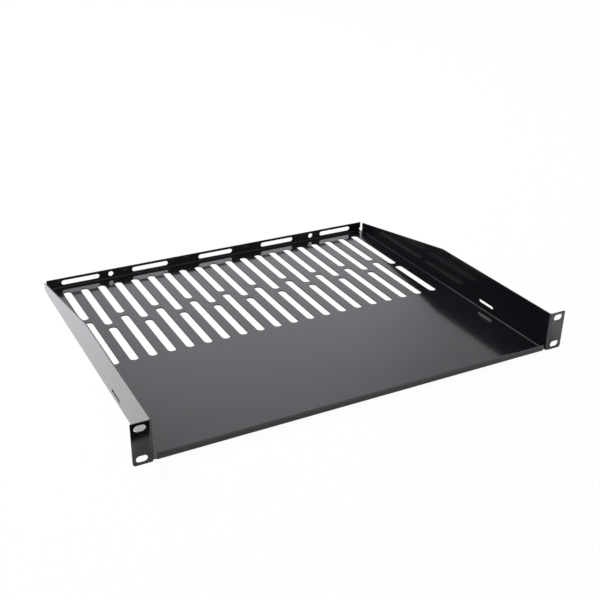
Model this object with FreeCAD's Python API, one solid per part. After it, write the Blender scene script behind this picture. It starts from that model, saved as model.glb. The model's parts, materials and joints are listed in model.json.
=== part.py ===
"""One-unit rack shelf: a vented tray folded from a single steel sheet.

Frame: X runs across the rack, Y from the front to the back, Z up. The origin is
the middle of the floor's underside. The tray is laid out with Y = 0 at the front
face of the ears, and centred once it is whole. All lengths are millimetres.
"""
import FreeCAD
import Part
import math
import os

# Sheet and folds
sheet = 1.2
fold_inner_radius = 1.5

# Rack standard: 19 inches wide and one unit high
rack_width = 482.6
ear_width = 18.6
ear_height = 43.65
ear_lift = 0.4
ear_slot_from_side = 8.75
ear_slot_from_end = 5.95
ear_slot_length = 11.0
ear_slot_width = 6.8
ear_lower_radius = 3.0
ear_upper_radius = 0.8
ear_foot_radius = 1.8

# Tray
tray_depth = 381.0
lip_height = 8.3
lip_end_setback = 4.3
back_wall_height = 13.5
side_rear_height = 12.6
side_level_length = 194.0

# Rear corners: a thin slit that ends in a round relief in the back wall
corner_slit = 0.4
relief_diameter = 3.8
relief_height = 3.9

# Floor vents: two staggered rows of slots that run front to back
vent_pitch = 21.05
vent_width = 9.4
vent_short = 81.0
vent_long = 103.0
vent_row_gap = 7.4
vent_back_margin = 14.4
vent_side_land = 12.0

# Back wall: long lacing slots, with a round hole beside each outermost one
lacing_pitch = 89.1
lacing_length = 47.2
lacing_width = 5.9
lacing_height = 7.6
lacing_side_land = 12.0
round_hole_setback = 14.4
round_hole_diameter = 6.3

# Side walls: one narrow strap slot each
strap_slot_length = 25.4
strap_slot_width = 3.4
strap_slot_setback = 103.5
strap_slot_height = 9.5

# Sizes that follow from the ones above
fold_outer_radius = fold_inner_radius + sheet
half_rack = rack_width / 2
half_width = half_rack - ear_width
wall_top = ear_lift + ear_height
floor_half_width = half_width - fold_outer_radius
floor_length = tray_depth - 2 * fold_outer_radius
back_wall_length = 2 * (floor_half_width - corner_slit)
clear_of_sheet = 4 * sheet


def vec(x, y, z):
    """Short name for a point or a direction."""
    return FreeCAD.Vector(x, y, z)


def prism(points, push):
    """Solid made by pushing a closed flat outline along a vector."""
    outline = Part.makePolygon(points + points[:1])
    return Part.Face(outline).extrude(push)


def fold_arc(radius, first, last):
    """Arc of a fold in the local Y-Z plane, between two angles in degrees."""
    points = []
    for angle in (first, (first + last) / 2, last):
        turn = math.radians(angle)
        y = fold_outer_radius + radius * math.cos(turn)
        z = fold_outer_radius + radius * math.sin(turn)
        points.append(vec(0, y, z))
    return Part.Arc(*points).toShape()


def flange(length, height):
    """One folded edge, centred on local X, that rises from the sheet's front end.

    The sheet it belongs to lies at Z 0 to sheet and starts at Y = fold_outer_radius.
    The outer face of the flange is Y = 0 and its top is Z = height.
    """
    outer = fold_arc(fold_outer_radius, 270, 180)
    inner = fold_arc(fold_inner_radius, 180, 270)
    top_outer = vec(0, 0, height)
    top_inner = vec(0, sheet, height)
    edges = [
        outer,
        Part.makeLine(outer.valueAt(outer.LastParameter), top_outer),
        Part.makeLine(top_outer, top_inner),
        Part.makeLine(top_inner, inner.valueAt(inner.FirstParameter)),
        inner,
        Part.makeLine(inner.valueAt(inner.LastParameter), outer.valueAt(outer.FirstParameter)),
    ]
    section = Part.Face(Part.Wire(edges))
    section.translate(vec(-length / 2, 0, 0))
    return section.extrude(vec(length, 0, 0))


def slot(centre, along, through, length, width):
    """Round-ended slot cutter, centred on a point, that passes right through the sheet."""
    across = through.cross(along).normalize()
    reach = along * ((length - width) / 2)
    half = across * (width / 2)
    tip = along * (length / 2)
    sides = [
        Part.makeLine(centre - reach + half, centre + reach + half),
        Part.Arc(centre + reach + half, centre + tip, centre + reach - half).toShape(),
        Part.makeLine(centre + reach - half, centre - reach - half),
        Part.Arc(centre - reach - half, centre - tip, centre - reach + half).toShape(),
    ]
    cutter = Part.Face(Part.Wire(sides)).extrude(through * clear_of_sheet)
    cutter.translate(through * (-clear_of_sheet / 2))
    return cutter


def row_positions(room, pitch, length):
    """Centres of as many equal slots as fit in a row of the given length, about 0."""
    count = int((room - length) / pitch) + 1
    return [(index - (count - 1) / 2) * pitch for index in range(count)]


def floor():
    """Flat of the tray, as far as the four folds."""
    corner = vec(-floor_half_width, fold_outer_radius, 0)
    return Part.makeBox(2 * floor_half_width, floor_length, sheet, corner)


def front_lip():
    """Low lip folded up from the floor's front edge, short of the ears."""
    return flange(2 * (half_width - lip_end_setback), lip_height)


def back_wall():
    """Back wall, folded up between the two slit corners."""
    wall = flange(back_wall_length, back_wall_height)
    wall.rotate(vec(0, 0, 0), vec(0, 0, 1), 180)
    wall.translate(vec(0, tray_depth, 0))
    return wall


def side_elevation():
    """Side view of a side wall: level at the front, then sloping to the back."""
    rear = tray_depth - fold_outer_radius
    points = [
        vec(0, fold_outer_radius, 0),
        vec(0, rear, 0),
        vec(0, rear, side_rear_height),
        vec(0, side_level_length, wall_top),
        vec(0, fold_outer_radius, wall_top),
    ]
    return prism(points, vec(half_rack, 0, 0))


def foot_slit():
    """Cutter that frees the foot of the ear from the fold under the side wall."""
    start = vec(floor_half_width, fold_outer_radius, 0)
    return Part.makeBox(fold_outer_radius, corner_slit, fold_outer_radius, start)


def side_wall():
    """Right side wall with the fold that joins it to the floor."""
    wall = flange(floor_length, wall_top)
    wall.rotate(vec(0, 0, 0), vec(0, 0, 1), 90)
    wall.translate(vec(half_width, tray_depth / 2, 0))
    return wall.common(side_elevation()).cut(foot_slit())


def corner_edge(shape, x, z):
    """The edge of an ear's outline that runs front to back through x, z."""
    for edge in shape.Edges:
        middle = edge.CenterOfMass
        if abs(middle.x - x) < 1e-6 and abs(middle.z - z) < 1e-6:
            return edge


def ear_outline():
    """Front view of the right ear, pushed back through the fold."""
    inner = half_width - sheet
    corner = vec(inner, 0, ear_lift)
    outline = Part.makeBox(half_rack - inner, fold_outer_radius, ear_height, corner)
    for x, z, radius in (
        (half_rack, ear_lift, ear_lower_radius),
        (half_rack, wall_top, ear_upper_radius),
        (inner, ear_lift, ear_foot_radius),
    ):
        outline = outline.makeFillet(radius, [corner_edge(outline, x, z)])
    return outline


def ear():
    """Right ear: the side wall's front edge folded outward, with two mounting slots."""
    inner = half_width - sheet
    blank = flange(wall_top, half_rack - inner)
    blank.rotate(vec(0, 0, 0), vec(0, 1, 0), 90)
    blank.translate(vec(inner, 0, wall_top / 2))
    blank = blank.common(ear_outline())
    for height in (ear_lift + ear_slot_from_end, wall_top - ear_slot_from_end):
        centre = vec(half_rack - ear_slot_from_side, sheet / 2, height)
        blank = blank.cut(slot(centre, vec(1, 0, 0), vec(0, 1, 0), ear_slot_length, ear_slot_width))
    return blank


def strap_slot():
    """Cutter for the narrow slot low in the right side wall."""
    centre = vec(half_width - sheet / 2, strap_slot_setback, strap_slot_height)
    return slot(centre, vec(0, 1, 0), vec(1, 0, 0), strap_slot_length, strap_slot_width)


def right_side():
    """Right side wall and ear as one piece, with their holes."""
    return side_wall().fuse(ear()).cut(strap_slot())


def mirrored(shape):
    """The same shape on the left of the tray."""
    return shape.mirror(vec(0, 0, 0), vec(1, 0, 0))


def vent_cutters():
    """Floor slots: each column has a short and a long one, which swap places."""
    cutters = []
    room = 2 * (floor_half_width - vent_side_land)
    for column, x in enumerate(row_positions(room, vent_pitch, vent_width)):
        lengths = (vent_short, vent_long) if column % 2 == 0 else (vent_long, vent_short)
        end = tray_depth - vent_back_margin
        for length in lengths:
            centre = vec(x, end - length / 2, sheet / 2)
            cutters.append(slot(centre, vec(0, 1, 0), vec(0, 0, 1), length, vent_width))
            end -= length + vent_row_gap
    return cutters


def back_hole(x, diameter, height, start):
    """Round cutter through the back wall, from the given Y to beyond its outer face."""
    return Part.makeCylinder(diameter / 2, clear_of_sheet, vec(x, start, height), vec(0, 1, 0))


def lacing_cutters():
    """Back wall: a row of long slots and a round hole inside each outermost one."""
    cutters = []
    room = back_wall_length - 2 * lacing_side_land
    places = row_positions(room, lacing_pitch, lacing_length)
    for x in places:
        centre = vec(x, tray_depth - sheet / 2, lacing_height)
        cutters.append(slot(centre, vec(1, 0, 0), vec(0, 1, 0), lacing_length, lacing_width))
    hole_place = places[-1] - lacing_length / 2 - round_hole_setback
    for x in (-hole_place, hole_place):
        cutters.append(back_hole(x, round_hole_diameter, lacing_height, tray_depth - 2 * sheet))
    return cutters


def corner_reliefs():
    """Round bites at the bottom of the back wall's two ends."""
    start = tray_depth - fold_outer_radius
    return [back_hole(x, relief_diameter, relief_height, start) for x in (-floor_half_width, floor_half_width)]


def shelf_tray():
    """The whole folded sheet, with the origin under the middle of its floor."""
    right = right_side()
    back = back_wall().cut(corner_reliefs())
    tray = floor().multiFuse([front_lip(), back, right, mirrored(right)])
    tray = tray.cut(vent_cutters() + lacing_cutters()).removeSplitter()
    tray.translate(vec(0, -tray_depth / 2, 0))
    return tray


def main():
    os.makedirs("parts", exist_ok=True)
    tray = shelf_tray()
    for solid in tray.Solids:
        print("closed and valid:", solid.isValid(), "volume in cubic mm:", round(solid.Volume, 1))
    tray.Solids[0].exportStep("parts/shelf_tray.step")


main()
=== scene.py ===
# %% [markdown]
# # A rack shelf, folded from one steel sheet
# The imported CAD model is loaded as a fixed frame, in metres: X runs across the rack,
# Y from the mounting ears to the back wall, and Z up. The shelf stands on Z = 0.
# Everything below is placed by that frame, so nothing has to be fitted by eye.

# %% Load the frame
import bmesh
import bpy
import json
import numpy as np
from mathutils import Matrix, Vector
from mathutils.geometry import delaunay_2d_cdt


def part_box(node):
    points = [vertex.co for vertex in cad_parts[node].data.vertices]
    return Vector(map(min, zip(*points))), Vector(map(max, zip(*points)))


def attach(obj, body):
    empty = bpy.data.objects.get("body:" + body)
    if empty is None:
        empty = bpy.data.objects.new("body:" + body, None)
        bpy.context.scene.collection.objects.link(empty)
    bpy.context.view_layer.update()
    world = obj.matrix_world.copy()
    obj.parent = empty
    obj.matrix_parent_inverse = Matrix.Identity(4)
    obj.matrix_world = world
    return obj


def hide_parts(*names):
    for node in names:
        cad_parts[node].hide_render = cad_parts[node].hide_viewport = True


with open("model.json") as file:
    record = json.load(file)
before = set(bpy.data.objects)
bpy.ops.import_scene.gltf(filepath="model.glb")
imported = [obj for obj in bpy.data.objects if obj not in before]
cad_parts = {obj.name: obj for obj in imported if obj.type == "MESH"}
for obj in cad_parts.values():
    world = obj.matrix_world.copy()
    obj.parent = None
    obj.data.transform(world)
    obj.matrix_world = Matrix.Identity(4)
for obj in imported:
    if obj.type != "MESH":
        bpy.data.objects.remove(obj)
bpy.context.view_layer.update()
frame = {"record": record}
low, high = (np.round(np.array(corner) * 1000, 3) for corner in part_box("shelf_tray"))
mounts = {mount["name"]: mount for mount in frame["record"]["mounts"]}
print("CAD box in mm:", low, "to", high)
print("mounts in the record:", list(mounts))

# %% [markdown]
# ## The flat blank
# A real shelf like this starts as a flat sheet. A punch press cuts its outline and its
# holes, and a press brake folds it. The same two steps are followed here, because they
# give true folds and true holes with little work: first the blank is drawn flat, in
# millimetres, then one formula folds it. A box model with cut-outs would need every
# corner trimmed by hand. The sizes are those of the CAD model, and where its record
# states them, as for the screw slots, they are read from there.

# %% Sizes of the sheet and its folds
sheet = 1.2
inner_radius = 1.5
outer_radius = inner_radius + sheet
fold_radius = inner_radius + sheet / 2
fold_length = fold_radius * np.pi / 2
print("length of sheet in each fold:", round(fold_length, 3), "mm")

# %% Where the folds start
ear_width = 18.6
fold_x = high[0] - ear_width - outer_radius
front_fold = low[1] + outer_radius
back_fold = high[1] - outer_radius
ear_reach = fold_length + high[0] - fold_x - 2 * fold_radius
print("floor between its folds:", round(2 * fold_x, 2), "x", round(back_fold - front_fold, 2), "mm")
print("flat length of an ear, with its fold:", round(ear_reach, 2), "mm")


# %% Where a height on a wall lies on the blank
def up_wall(height):
    """Distance past the fold line for a height: fold length + height - outer radius."""
    return fold_length + height - outer_radius


def corner_arc(centre, radius, first, last, steps):
    """Points on a circle, centre + radius (cos a, sin a), between two angles in degrees."""
    angle = np.radians(np.linspace(first, last, steps))
    return np.array(centre) + radius * np.column_stack((np.cos(angle), np.sin(angle)))


# %% [markdown]
# ## The outline
# The right half of the outline is listed from the front lip round to the back wall.
# Narrow slits at the corners let the walls fold up apart from each other, and a round
# bite at each end of the back wall is the relief that keeps the sheet from tearing.
# The left half is the mirror image, so only one half is ever edited.

# %% The foot of the ear
# The foot's rounding is known on the folded ear, so it is laid flat: a turn t round the
# fold moves the sheet out by radius x (1 - cos(t / radius)), and arccos undoes that.
ear_lift = 0.4
foot_radius = 1.8
wall_x = fold_x + fold_radius
foot_end_x = wall_x - sheet / 2 + foot_radius
foot_x = np.linspace(wall_x, foot_end_x, 5)
foot_turn = fold_radius * np.arccos(1 - (foot_x - wall_x) / fold_radius)
foot_height = ear_lift + foot_radius - np.sqrt(foot_radius ** 2 - (foot_end_x - foot_x) ** 2)
foot = np.column_stack((fold_x + up_wall(foot_height), front_fold - foot_turn))
print("foot starts at a height of", round(foot_height[0], 2), "mm")

# %% The rest of the ear
ear_lower_radius = 3.0
ear_upper_radius = 0.8
ear_side = front_fold - ear_reach
ear_head = fold_x + up_wall(high[2])
lower_centre = (fold_x + up_wall(ear_lift) + ear_lower_radius, ear_side + ear_lower_radius)
upper_centre = (ear_head - ear_upper_radius, ear_side + ear_upper_radius)
ear_outline = np.vstack((
    foot,
    corner_arc(lower_centre, ear_lower_radius, 180, 270, 9),
    corner_arc(upper_centre, ear_upper_radius, 270, 360, 4),
    [(ear_head, front_fold)],
))
print("points round an ear:", len(ear_outline))

# %% The rear corner: a thin slit that ends in a round bite
slit = 0.4
relief_radius = 1.9
relief_height = 3.9
back_end = fold_x - slit
bite_centre = (fold_x, back_fold + up_wall(relief_height))
bite_angle = np.degrees(np.arccos(-slit / relief_radius))
bite = corner_arc(bite_centre, relief_radius, -bite_angle, bite_angle - 360, 15)
print("the bite leaves the slit at", round(bite_angle, 1), "degrees")

# %% The whole outline
lip_height = 8.3
lip_setback = 4.3
lip_end = fold_x + outer_radius - lip_setback
side_level_length = 194.0
side_rear_height = 12.6
back_wall_height = 13.5
right_half = np.vstack((
    [(lip_end, front_fold - up_wall(lip_height)), (lip_end, front_fold), (fold_x, front_fold)],
    [(fold_x, front_fold + slit), (fold_x + fold_length, front_fold + slit)],
    [(fold_x + fold_length, front_fold)],
    ear_outline,
    [(ear_head, low[1] + side_level_length)],
    [(fold_x + up_wall(side_rear_height), back_fold), (fold_x, back_fold), (back_end, back_fold)],
    bite,
    [(back_end, back_fold + up_wall(back_wall_height))],
))
outline = np.vstack((right_half, right_half[::-1] * (-1, 1)))
print("points in the outline:", len(outline))


# %% [markdown]
# ## The holes
# Every hole here is the same shape, a slot with round ends: two half circles joined by
# straight sides. The floor vents stand in columns, a short one and a long one in each,
# and neighbouring columns swap the two. One formula draws any number of slots at once.

# %% Slots as closed loops
def slot_loops(centres, lengths, width, along, steps=15):
    """Round-ended slots. Each point is centre + half circle of the width + straight reach.

    The half circle turns from 0 to 180 degrees at one end and on to 360 at the other,
    and each end is pushed out by (length - width) / 2 along the slot's own direction.
    """
    half_turn = np.linspace(0, np.pi, steps)
    turn = np.concatenate((half_turn, half_turn + np.pi))
    push = np.repeat((0.5, -0.5), steps)
    across = width / 2 * np.cos(turn)
    reach = width / 2 * np.sin(turn)
    run = reach + push * (np.reshape(lengths, (-1, 1)) - width)
    side = np.broadcast_to(across, run.shape)
    pair = (side, run) if along == "y" else (run, -side)
    return np.stack(pair, axis=2) + np.reshape(centres, (-1, 1, 2))


# %% Vents in the floor
columns = 20
vent_pitch = 21.05
vent_width = 9.4
short_vent = 81.0
long_vent = 103.0
vent_gap = 7.4
vent_margin = 14.4
vent_end = high[1] - vent_margin
column = np.arange(columns)
vent_x = (column - (columns - 1) / 2) * vent_pitch
rear = np.where(column % 2 == 0, short_vent, long_vent)
front = short_vent + long_vent - rear
rear_places = np.column_stack((vent_x, vent_end - rear / 2))
front_places = np.column_stack((vent_x, vent_end - rear - vent_gap - front / 2))
rear_vents = slot_loops(rear_places, rear, vent_width, "y")
front_vents = slot_loops(front_places, front, vent_width, "y")
print("vents:", len(rear_vents) + len(front_vents))

# %% Lacing slots and round holes in the back wall
# A round hole is drawn as a slot too. Its straight sides are a thousandth of a
# millimetre long, so that no two points of its loop coincide.
lacing_count = 5
lacing_pitch = 89.1
lacing_length = 47.2
lacing_width = 5.9
hair = 0.001
back_holes = mounts["back_holes"]
hole_x = back_holes["dims"]["spacing_x_mm"] / 2
hole_width = 2 * back_holes["dims"]["hole_r_mm"]
hole_y = back_fold + up_wall(back_holes["pos_m"][2] * 1000)
lacing_x = (np.arange(lacing_count) - (lacing_count - 1) / 2) * lacing_pitch
lacing_places = np.column_stack((lacing_x, np.full(lacing_count, hole_y)))
lacing_slots = slot_loops(lacing_places, lacing_length, lacing_width, "x")
hole_places = [(-hole_x, hole_y), (hole_x, hole_y)]
round_holes = slot_loops(hole_places, hole_width + hair, hole_width, "x")
print("holes in the back wall:", len(lacing_slots) + len(round_holes))

# %% Strap slots in the side walls
strap_length = 25.4
strap_width = 3.4
strap_height = 9.5
strap_setback = 103.5
strap_x = fold_x + up_wall(strap_height)
strap_y = low[1] + strap_setback
strap_places = [(-strap_x, strap_y), (strap_x, strap_y)]
strap_slots = slot_loops(strap_places, strap_length, strap_width, "y", steps=9)
print("strap slots:", len(strap_slots))

# %% Screw slots in the ears
rack_ears = mounts["rack_ears"]
rack_holes = rack_ears["dims"]
screw_heights = rack_ears["pos_m"][2] * 1000 + rack_holes["spacing_y_mm"] * np.array((-0.5, 0.5))
screw_x = fold_x + up_wall(screw_heights)
screw_y = ear_side + high[0] - rack_holes["spacing_x_mm"] / 2
screw_places = [(x, screw_y) for x in np.concatenate((-screw_x, screw_x))]
screw_width = 2 * rack_holes["hole_r_mm"]
screw_slots = slot_loops(screw_places, rack_holes["slot_length_mm"], screw_width, "y")
holes = [*rear_vents, *front_vents, *lacing_slots, *round_holes, *strap_slots, *screw_slots]
print("holes in the sheet:", len(holes))


# %% [markdown]
# ## Cutting the blank
# A constrained Delaunay triangulation fills the flat outline with triangles that respect
# every edge given to it. The fold lines are given too, eight strips to a fold, so that
# the sheet can bend there. Triangles in the holes are dropped by counting how many edges
# a ray from their middle crosses: an odd count means steel, an even one means air.

# %% Fold lines
def lines(starts, ends):
    """Two-point lines, one for each row of starts and ends."""
    return np.stack((starts, ends), axis=1)


def level(value, first, last):
    """Lines along X, one for each Y in value."""
    return lines(*(np.column_stack((np.full_like(value, x), value)) for x in (first, last)))


def upright(value, first, last):
    """Lines along Y, one for each X in value."""
    return lines(*(np.column_stack((value, np.full_like(value, y))) for y in (first, last)))


strips = np.linspace(0, fold_length, 9)
beyond_ears = 270.0
fold_lines = np.concatenate((
    level(front_fold - strips, -beyond_ears, beyond_ears),
    level(back_fold + strips, -fold_x, fold_x),
    upright(fold_x + strips, front_fold, back_fold),
    upright(-fold_x - strips, front_fold, back_fold),
))
print("fold lines:", len(fold_lines))


# %% Rounded edges start a little way in
def left_of(travel):
    """Unit vector to the left of each edge: (-dy, dx) divided by the edge's length."""
    left = travel[:, ::-1] * (-1, 1)
    return left / np.linalg.norm(left, axis=1, keepdims=True)


def mitre(before, after):
    """Where two offset edges meet: the sum of their normals / (1 + their dot product)."""
    return (before + after) / (1 + (before * after).sum(axis=1, keepdims=True))


def inset(loop, distance):
    """The loop moved into the steel, which lies on the left of its edges."""
    after = left_of(np.roll(loop, -1, axis=0) - loop)
    return loop + distance * mitre(np.roll(after, 1, axis=0), after)


edge_radius = 0.12
loops = [inset(loop, edge_radius) for loop in [outline] + [hole[::-1] for hole in holes]]
print("loops moved in by", edge_radius, "mm:", len(loops))

# %% Edges that the triangles have to keep
sizes = np.array([len(loop) for loop in loops])
first = np.repeat(np.cumsum(sizes) - sizes, sizes)
step = np.arange(sizes.sum()) - first
loop_edges = np.column_stack((first + step, first + (step + 1) % np.repeat(sizes, sizes)))
line_edges = sizes.sum() + np.arange(2 * len(fold_lines)).reshape(-1, 2)
points = np.vstack([*loops, fold_lines.reshape(-1, 2)])
edges = np.vstack((loop_edges, line_edges))
print("points:", len(points), "edges:", len(edges))


# %% Triangles of the blank
def in_steel(points, loops):
    """True where a ray along +X crosses the loops' edges an odd number of times."""
    start = np.vstack(loops)
    end = np.vstack([np.roll(loop, -1, axis=0) for loop in loops])
    height = points[:, 1:2]
    spans = (start[:, 1] > height) != (end[:, 1] > height)
    climb = end[:, 1] - start[:, 1]
    slope = (end[:, 0] - start[:, 0]) / np.where(climb == 0, 1, climb)
    crossing = start[:, 0] + slope * (height - start[:, 1])
    return (spans & (points[:, 0:1] < crossing)).sum(axis=1) % 2 == 1


# Output type 0 gives every triangle between the points, and the steel is picked from them.
all_triangles = 0
closest = 1e-4
flat, _, faces, *_ = delaunay_2d_cdt(points.tolist(), edges.tolist(), [], all_triangles, closest)
flat, faces = np.array(flat), np.array(faces)
faces = faces[in_steel(flat[faces].mean(axis=1), loops)]
used, faces = np.unique(faces, return_inverse=True)
faces = faces.reshape(-1, 3)
flat = flat[used]
print("triangles in the blank:", len(faces), "corners:", len(flat))


# %% [markdown]
# ## Folding it
# Past a fold line the sheet follows a quarter circle, then goes straight up. So a flat
# distance becomes a reach along the floor and a rise above it. The ears fold a second
# time, outwards, round an upright line, and the same two formulas serve for them.

# %% The fold formulas
def turned(distance):
    """Angle turned past a fold line: distance / radius, held between 0 and 90 degrees."""
    return np.clip(distance / fold_radius, 0, np.pi / 2)


def reach(distance):
    """Distance along the floor: radius x sin(angle turned)."""
    return fold_radius * np.sin(turned(distance))


def rise(distance):
    """Height: radius x (1 - cos(angle turned)), plus what lies past the end of the fold."""
    return fold_radius * (1 - np.cos(turned(distance))) + np.maximum(distance - fold_length, 0)


# %% The whole sheet, folded
def folded(flat, above):
    """Sheet in space: its middle, where each wall rises past its own fold line, plus the
    distance above that middle times the sheet's normal, which turns with the folds.

    An ear is what lies ahead of the slit's middle, more than the slit's width past the
    floor's edge.
    """
    side, out = np.sign(flat[:, 0]), np.abs(flat[:, 0]) - fold_x
    ahead, behind = front_fold - flat[:, 1], flat[:, 1] - back_fold
    ear = (ahead > -slit / 2) & (out > slit)
    x = side * (np.minimum(out, 0) + fold_x + reach(out))
    x = np.where(ear, side * (fold_x + fold_radius + rise(ahead)), x)
    y = np.clip(flat[:, 1], front_fold, back_fold) - reach(ahead) + reach(behind)
    z = sheet / 2 + rise(out) + rise(ahead) + rise(behind)
    z = np.where(ear, sheet / 2 + fold_radius + out - fold_length, z)
    a, b, c = turned(out), turned(ahead), turned(behind)
    floor_normal = (-side * np.sin(a), np.sin(b) - np.sin(c), np.cos(a) * np.cos(b) * np.cos(c))
    ear_normal = (-side * np.cos(b), -np.sin(b), np.zeros_like(b))
    normal = np.where(ear, ear_normal, floor_normal).T
    return np.column_stack((x, y, z)) + normal * np.reshape(above, (-1, 1))


def corners_of(points):
    """Lowest and highest corner of a set of points, rounded for printing."""
    return np.round((points.min(axis=0), points.max(axis=0)), 2).tolist()


print("middle of the sheet in mm:", corners_of(folded(flat, np.zeros(len(flat)))))

# %% [markdown]
# ## Thickness and edges
# The same triangles serve for the upper and the lower face, half the gauge above and
# below the middle. Powder coat flows round a cut edge and leaves it slightly round, so
# the rim between the faces is a rounded profile carried along every edge of the blank.
# Solidify and Bevel could do this too, but Bevel fails in the narrow corner slits.

# %% Edges of the blank, with the steel on their left
every_edge = np.vstack((faces[:, [0, 1]], faces[:, [1, 2]], faces[:, [2, 0]]))
unordered = np.sort(every_edge, axis=1)
_, which, count = np.unique(unordered, axis=0, return_inverse=True, return_counts=True)
rim_edges = every_edge[count[which.ravel()] == 1]
rim_edges = rim_edges[np.argsort(rim_edges[:, 0])]
rim_points, before = rim_edges[:, 0], np.argsort(rim_edges[:, 1])
outwards = -left_of(flat[rim_edges[:, 1]] - flat[rim_points])
outwards = mitre(outwards[before], outwards)
place = np.searchsorted(rim_points, rim_edges)
print("edges on the rim:", len(rim_edges))

# %% Profile of the rim
quarter = np.radians((30, 60, 90))
out = edge_radius * np.concatenate((np.sin(quarter), np.sin(quarter[::-1])))
height = sheet / 2 - edge_radius + edge_radius * np.cos(quarter)
height = np.concatenate((height, -height[::-1]))
rows, many = len(out), len(rim_points)
rim_flat = (flat[rim_points] + out[:, None, None] * outwards).reshape(-1, 2)
rim_above = np.repeat(height, many)
all_flat = np.vstack((flat, flat, rim_flat))
all_above = np.concatenate((np.repeat((sheet / 2, -sheet / 2), len(flat)), rim_above))
placed = folded(all_flat, all_above)
print("folded sheet in mm:", corners_of(placed))

# %% Faces of the rim
between = 2 * len(flat) + np.arange(rows * many).reshape(rows, many)
ladder = np.vstack((rim_points, between, rim_points + len(flat)))
start, end = ladder[:, place[:, 0]], ladder[:, place[:, 1]]
rim_faces = np.stack((start[:-1], start[1:], end[1:], end[:-1]), axis=2).reshape(-1, 4)
under = faces[:, ::-1] + len(flat)
print("faces: above", len(faces), "below", len(under), "rim", len(rim_faces))

# %% [markdown]
# ## The sheet as one piece
# The points and faces become one mesh, in metres. In the corners of the slits some rim
# points coincide, so they are merged, and every edge then belongs to just two faces.
# Smooth shading rounds the folds and the rim, and a Weighted Normal modifier keeps the
# large faces flat right up to them.

# %% The mesh
same_point = 5e-7
mesh = bpy.data.meshes.new("folded_sheet")
all_faces = faces.tolist() + under.tolist() + rim_faces.tolist()
mesh.from_pydata((placed / 1000).tolist(), [], all_faces)
joined = bmesh.new()
joined.from_mesh(mesh)
bmesh.ops.remove_doubles(joined, verts=joined.verts, dist=same_point)
joined.to_mesh(mesh)
joined.free()
mesh.polygons.foreach_set("use_smooth", np.ones(len(mesh.polygons), dtype=bool))
mesh.set_sharp_from_angle(angle=np.radians(50))
print("mesh is valid:", not mesh.validate(), "vertices:", len(mesh.vertices))

# %% The piece, riding on the frame
tray = bpy.data.objects.new("folded_sheet", mesh)
bpy.context.scene.collection.objects.link(tray)
flats = tray.modifiers.new("flat_faces", "WEIGHTED_NORMAL")
flats.keep_sharp = True
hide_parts("shelf_tray")
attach(tray, "root")
print("piece:", tray.name)


# %% [markdown]
# ## The finish: shared effects
# The coat is a smooth, semi-gloss black powder coat. Baked powder is never a perfect
# mirror: it dries in low pebbles like orange peel, its gloss drifts from place to place,
# and the sheet under it is a little wavy from rolling and folding. Each effect is a node
# group that reads Object coordinates, so it stays put when the camera moves.

# %% Helpers for node groups
def new_group(name, inputs, outputs):
    """Shader node group with named float inputs, as (name, value), and float outputs."""
    group = bpy.data.node_groups.new(name, "ShaderNodeTree")
    for title, value in inputs:
        socket = group.interface.new_socket(title, in_out="INPUT", socket_type="NodeSocketFloat")
        socket.default_value = value
    for title in outputs:
        group.interface.new_socket(title, in_out="OUTPUT", socket_type="NodeSocketFloat")
    start = group.nodes.new("NodeGroupInput")
    end = group.nodes.new("NodeGroupOutput")
    return group, start.outputs, end.inputs


def noise(tree, scale, detail, roughness=0.5):
    """Value of a noise texture on Object coordinates, in features per metre."""
    place = tree.nodes.new("ShaderNodeTexCoord")
    node = tree.nodes.new("ShaderNodeTexNoise")
    node.inputs["Scale"].default_value = scale
    node.inputs["Detail"].default_value = detail
    node.inputs["Roughness"].default_value = roughness
    tree.links.new(place.outputs["Object"], node.inputs["Vector"])
    return node.outputs["Fac"]


def maths(tree, kind, first, second):
    """Math node whose two inputs are sockets or plain numbers."""
    node = tree.nodes.new("ShaderNodeMath")
    node.operation = kind
    for socket, value in zip(node.inputs, (first, second)):
        if isinstance(value, bpy.types.NodeSocket):
            tree.links.new(value, socket)
        else:
            socket.default_value = value
    return node.outputs["Value"]


# %% Orange peel and waviness
peel_inputs = [("Peel", 1.0), ("Waves", 1.0)]
peel, peel_in, peel_out = new_group("coat_surface", peel_inputs, ["Height"])
pebbles = maths(peel, "MULTIPLY", noise(peel, scale=700, detail=2), peel_in["Peel"])
waves = maths(peel, "MULTIPLY", noise(peel, scale=9, detail=1), peel_in["Waves"])
peel.links.new(maths(peel, "ADD", pebbles, waves), peel_out["Height"])
print("group", peel.name, "with", [item.name for item in peel.interface.items_tree])

# %% Drifting gloss
gloss_inputs = [("Base", 0.2), ("Drift", 0.1)]
gloss, gloss_in, gloss_out = new_group("coat_gloss", gloss_inputs, ["Roughness", "Tone"])
broad = noise(gloss, scale=14, detail=3, roughness=0.6)
swing = maths(gloss, "SUBTRACT", broad, 0.5)
drift = maths(gloss, "MULTIPLY", swing, gloss_in["Drift"])
gloss.links.new(maths(gloss, "ADD", drift, gloss_in["Base"]), gloss_out["Roughness"])
gloss.links.new(broad, gloss_out["Tone"])
print("group", gloss.name, "with", [item.name for item in gloss.interface.items_tree])

# %% [markdown]
# ## The black coat
# The coat is a dielectric, like any paint: nearly all the grey that the eye sees on it is
# the pale room reflected in its gloss, stronger at grazing angles. So its own colour is
# almost black, and the Principled shader's Fresnel does the rest. The two groups give the
# pebbles and waves to its normal, the drift to its roughness, and a faint change of tone.

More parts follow.
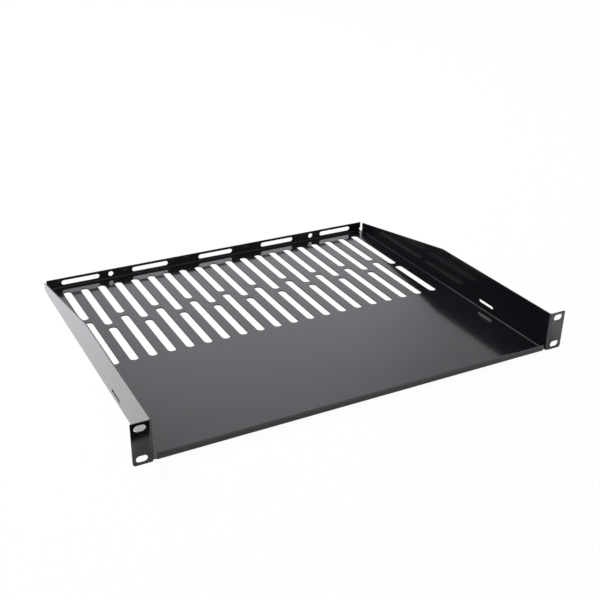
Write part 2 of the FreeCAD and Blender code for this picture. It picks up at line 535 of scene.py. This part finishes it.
# %% The black coat's material
coat = bpy.data.materials.new("black_coat_finish")
coat.use_nodes = True
tree = coat.node_tree
paint = tree.nodes["Principled BSDF"]
paint.inputs["IOR"].default_value = 1.5
paint.inputs["Coat Weight"].default_value = 0.7
paint.inputs["Coat Roughness"].default_value = 0.1
surface = tree.nodes.new("ShaderNodeGroup")
surface.node_tree = peel
surface.inputs["Peel"].default_value = 0.00002
surface.inputs["Waves"].default_value = 0.0006
bump = tree.nodes.new("ShaderNodeBump")
bump.inputs["Strength"].default_value = 1.0
bump.inputs["Distance"].default_value = 1.0
tree.links.new(surface.outputs["Height"], bump.inputs["Height"])
tree.links.new(bump.outputs["Normal"], paint.inputs["Normal"])
print("bump from", surface.node_tree.name)

# %% Gloss and tone of the coat
sheen = tree.nodes.new("ShaderNodeGroup")
sheen.node_tree = gloss
sheen.inputs["Base"].default_value = 0.17
sheen.inputs["Drift"].default_value = 0.1
tree.links.new(sheen.outputs["Roughness"], paint.inputs["Roughness"])
tone = tree.nodes.new("ShaderNodeValToRGB")
darker, paler = tone.color_ramp.elements
darker.position = 0.3
darker.color = (0.0032, 0.0031, 0.0046, 1)
paler.position = 0.7
paler.color = (0.0048, 0.0046, 0.0068, 1)
tree.links.new(sheen.outputs["Tone"], tone.inputs["Fac"])
tree.links.new(tone.outputs["Color"], paint.inputs["Base Color"])
mesh.materials.append(coat)
print("material", coat.name, "with", len(tree.nodes), "nodes")

# %% [markdown]
# ## The studio
# The shelf lies on a white sweep. To the camera the ground shows as nearly pure white, as
# in the photograph, and a small share of plain diffuse paper keeps the shelf's soft
# shadow. The gloss sees more of the paper: in the photograph it mirrors white ground at
# the left, where the light falls, and greyer ground in front. The ground is not part of
# the shelf.

# %% Helpers for the stage
def flat_stage(name, corners, height, material):
    """Flat polygon: its corners and its height are in metres."""
    flat_mesh = bpy.data.meshes.new(name)
    places = np.column_stack((corners, np.full(len(corners), height)))
    flat_mesh.from_pydata(places.tolist(), [], [tuple(range(len(corners)))])
    flat_mesh.materials.append(material)
    stage = bpy.data.objects.new(name, flat_mesh)
    bpy.context.scene.collection.objects.link(stage)
    return stage


def seen_and_mirrored(tree):
    """Two factors from Light Path: 1 where the camera sees a thing, and 1 in a reflection."""
    path = tree.nodes.new("ShaderNodeLightPath")
    seen = maths(tree, "MAXIMUM", path.outputs["Is Camera Ray"], path.outputs["Is Transmission Ray"])
    return seen, path.outputs["Is Glossy Ray"]


# %% The white sweep's material
white_seen = 0.97
white_mirrored = 0.36
paper = bpy.data.materials.new("white_sweep")
paper.use_nodes = True
tree = paper.node_tree
tree.nodes.remove(tree.nodes["Principled BSDF"])
plain = tree.nodes.new("ShaderNodeBsdfDiffuse")
plain.inputs["Color"].default_value = (0.85, 0.845, 0.885, 1)
glow = tree.nodes.new("ShaderNodeEmission")
glow.inputs["Strength"].default_value = 1.0
seen, mirrored = seen_and_mirrored(tree)
seen_share = maths(tree, "MULTIPLY", seen, white_seen)
mirrored_share = maths(tree, "MULTIPLY", mirrored, white_mirrored)
mix = tree.nodes.new("ShaderNodeMixShader")
tree.links.new(maths(tree, "MAXIMUM", seen_share, mirrored_share), mix.inputs[0])
tree.links.new(plain.outputs[0], mix.inputs[1])
tree.links.new(glow.outputs[0], mix.inputs[2])
tree.links.new(mix.outputs[0], tree.nodes["Material Output"].inputs["Surface"])
print("material", paper.name, "with", len(tree.nodes), "nodes")

# %% The ground
ground_reach = 4.0
ground_height = -0.0002
square = np.array([(-1, -1), (1, -1), (1, 1), (-1, 1)])
flat_stage("ground", square * ground_reach, ground_height, paper)
print("ground at", ground_height * 1000, "mm")

# %% [markdown]
# ## The world
# The photograph's light comes mainly from behind, low and a little to the right: the
# floor is brightest where it mirrors that side, and the walls look black, because seen
# from above they mirror the dark tray. So the world's brightest glow lies in that one
# direction. Weaker glows, low on the other sides and overhead, show the gloss to whoever
# looks from there. The camera sees the world itself as plain white.

# %% A glow in one direction of the world
cool_white = np.array((0.985, 0.97, 1.03))
world = bpy.data.worlds.new("studio")
bpy.context.scene.world = world
world.use_nodes = True
sky = world.node_tree
look = sky.nodes.new("ShaderNodeTexCoord")


def glow_toward(turn, tilt, levels):
    """Colour that fades with the angle from a direction: turn from +Y to +X, and tilt up.

    The dot product of two unit vectors is the cosine of the angle between them, so each
    pair in levels, an angle in degrees and a brightness, is a stop at that cosine.
    """
    turn, tilt = np.radians((turn, tilt))
    centre = (np.sin(turn) * np.cos(tilt), np.cos(turn) * np.cos(tilt), np.sin(tilt))
    facing = sky.nodes.new("ShaderNodeVectorMath")
    facing.operation = "DOT_PRODUCT"
    facing.inputs[1].default_value = centre
    sky.links.new(look.outputs["Generated"], facing.inputs[0])
    fade = sky.nodes.new("ShaderNodeValToRGB")
    stops = fade.color_ramp.elements
    while len(stops) < len(levels):
        stops.new(1.0)
    for stop, (angle, level) in zip(stops, levels):
        stop.position = np.cos(np.radians(angle))
        stop.color = (*np.minimum(level * cool_white, 1), 1)
    sky.links.new(facing.outputs["Value"], fade.inputs["Fac"])
    return fade.outputs["Color"]


# %% The world's glows added up
back_glow = ((60, 0.06), (40, 0.25), (20, 0.48), (13, 0.63), (7, 0.97))
low_glow = ((50, 0.0), (15, 0.4))
high_glow = ((35, 0.0), (10, 0.35))
glows = (
    (24.5, 26, back_glow),
    (180, 12, low_glow),
    (-105, 12, low_glow),
    (105, 12, low_glow),
    (0, 90, high_glow),
)
total, *others = [glow_toward(*glow) for glow in glows]
for colour in others:
    plus = sky.nodes.new("ShaderNodeVectorMath")
    sky.links.new(total, plus.inputs[0])
    sky.links.new(colour, plus.inputs[1])
    total = plus.outputs["Vector"]
print("glows:", len(glows))

# %% White for the camera
seen, _ = seen_and_mirrored(sky)
backdrop = sky.nodes.new("ShaderNodeMix")
backdrop.data_type = "RGBA"
backdrop.inputs["B"].default_value = (1, 1, 1, 1)
sky.links.new(seen, backdrop.inputs["Factor"])
sky.links.new(total, backdrop.inputs["A"])
sky.links.new(backdrop.outputs["Result"], sky.nodes["Background"].inputs["Color"])
print("nodes in the world:", len(sky.nodes))


# %% [markdown]
# ## Lamps
# Two square softboxes stand behind the shelf, on the left. The strong one lights the
# paper of the ground and casts the soft shadow, and it is hidden from the gloss, where
# it would show as a hot spot. The weak one is higher, and the gloss does see it: it draws
# the thin pale line along the fold of the right wall.

# %% The softboxes
def softbox(name, place, size, power):
    """Square area lamp that points at the shelf from place, in metres."""
    lamp = bpy.data.lights.new(name, "AREA")
    lamp.size = size
    lamp.energy = power
    box = bpy.data.objects.new(name, lamp)
    toward = np.array(place) / np.linalg.norm(place)
    side = np.cross((0, 1, 0), toward)
    side = side / np.linalg.norm(side)
    rows = np.column_stack((side, np.cross(toward, side), toward, place))
    box.matrix_world = Matrix(np.vstack((rows, (0, 0, 0, 1))).tolist())
    bpy.context.scene.collection.objects.link(box)
    return box


key = softbox("back_softbox", place=(-0.87, 1.86, 1.6), size=1.0, power=100)
key.visible_glossy = False
softbox("high_softbox", place=(-0.82, 1.31, 1.84), size=1.2, power=5)
print("lamps:", [lamp.name for lamp in bpy.data.lights])


# %% [markdown]
# ## Painted shade on the ground
# The gloss shows what lies on the ground near the shelf. In the photograph the upper half
# of the left ear mirrors something dark in front of it, and the walls mirror only dim
# ground through the vents. Two dark cards paint that shade here, seen only in reflections:
# the shaded ground in front of the shelf, and the shelf's shadow on the ground under it.
# The camera looks through them to the white ground.

# %% The cards
def shade_card(name, corners, height, grey):
    """Dull flat card of painted shade that only reflections show: corners and height in metres, and
    its grey.
    """
    shade_material = bpy.data.materials.new(name)
    shade_material.use_nodes = True
    shade_shader = shade_material.node_tree.nodes["Principled BSDF"]
    shade_shader.inputs["Base Color"].default_value = (grey, grey, grey, 1)
    shade_shader.inputs["Roughness"].default_value = 1.0
    shade_shader.inputs["Specular IOR Level"].default_value = 0.0
    card = flat_stage(name, corners, height, shade_material)
    card.visible_camera = False
    card.visible_diffuse = False
    card.visible_shadow = False


# Painted shade: a near-black card for the shaded ground in front of the shelf, seen only in
# reflections.
side, front = 0.6, -1.2
near_shelf = [(side, -0.33), (0.0, -0.262), (-side, -0.17)]
shade_card("front_shade_card", [(-side, front), (side, front), *near_shelf], height=0.0004, grey=0.01)
# Painted shadow: a grey card for the shelf's shadow on the ground under it, seen through the vents
# in reflections.
side, front, back = 0.219, -0.188, 0.189
under_shelf = [(-side, front), (side, front), (side, back), (-side, back)]
shade_card("shade_card_below", under_shelf, height=-0.0001, grey=0.13)

# %% [markdown]
# ## The camera
# The viewing direction, distance and focal length were worked out from the photograph:
# from the ears' corners, the slot pattern and the straight edges, by least squares. The
# camera looks down from the front left, and its small shift puts the shelf where the
# photograph has it.

# %% Directions of the camera
turn, tilt, roll = np.radians((-27.5501, 27.2889, 0.5966))
target = np.array((-2.5469, -20.5, 16.5851)) / 1000
distance = 1.0226508
back = np.array((np.sin(turn) * np.cos(tilt), -np.cos(turn) * np.cos(tilt), np.sin(tilt)))
across = np.cross(-back, (0, 0, 1))
across = across / np.linalg.norm(across)
upward = np.cross(across, -back)
right = across * np.cos(roll) + upward * np.sin(roll)
top = -across * np.sin(roll) + upward * np.cos(roll)
rows = np.column_stack((right, top, back, target + back * distance))
print("camera at", np.round(rows[:, 3], 4), "metres")

# %% Lens and picture
picture_pixels = 600
focal_pixels = 919.1172
centre_pixel_x, centre_pixel_y = 287.8254, 314.4305
lens = bpy.data.cameras.new("camera")
lens.sensor_width = 36
lens.lens = lens.sensor_width * focal_pixels / picture_pixels
lens.shift_x = (picture_pixels / 2 - centre_pixel_x) / picture_pixels
lens.shift_y = (centre_pixel_y - picture_pixels / 2) / picture_pixels
lens.clip_start = 0.01
camera = bpy.data.objects.new("camera", lens)
camera.matrix_world = Matrix(np.vstack((rows, (0, 0, 0, 1))).tolist())
bpy.context.scene.collection.objects.link(camera)
bpy.context.scene.camera = camera
bpy.context.scene.view_settings.view_transform = "Standard"
print("focal length", round(lens.lens, 2), "mm")
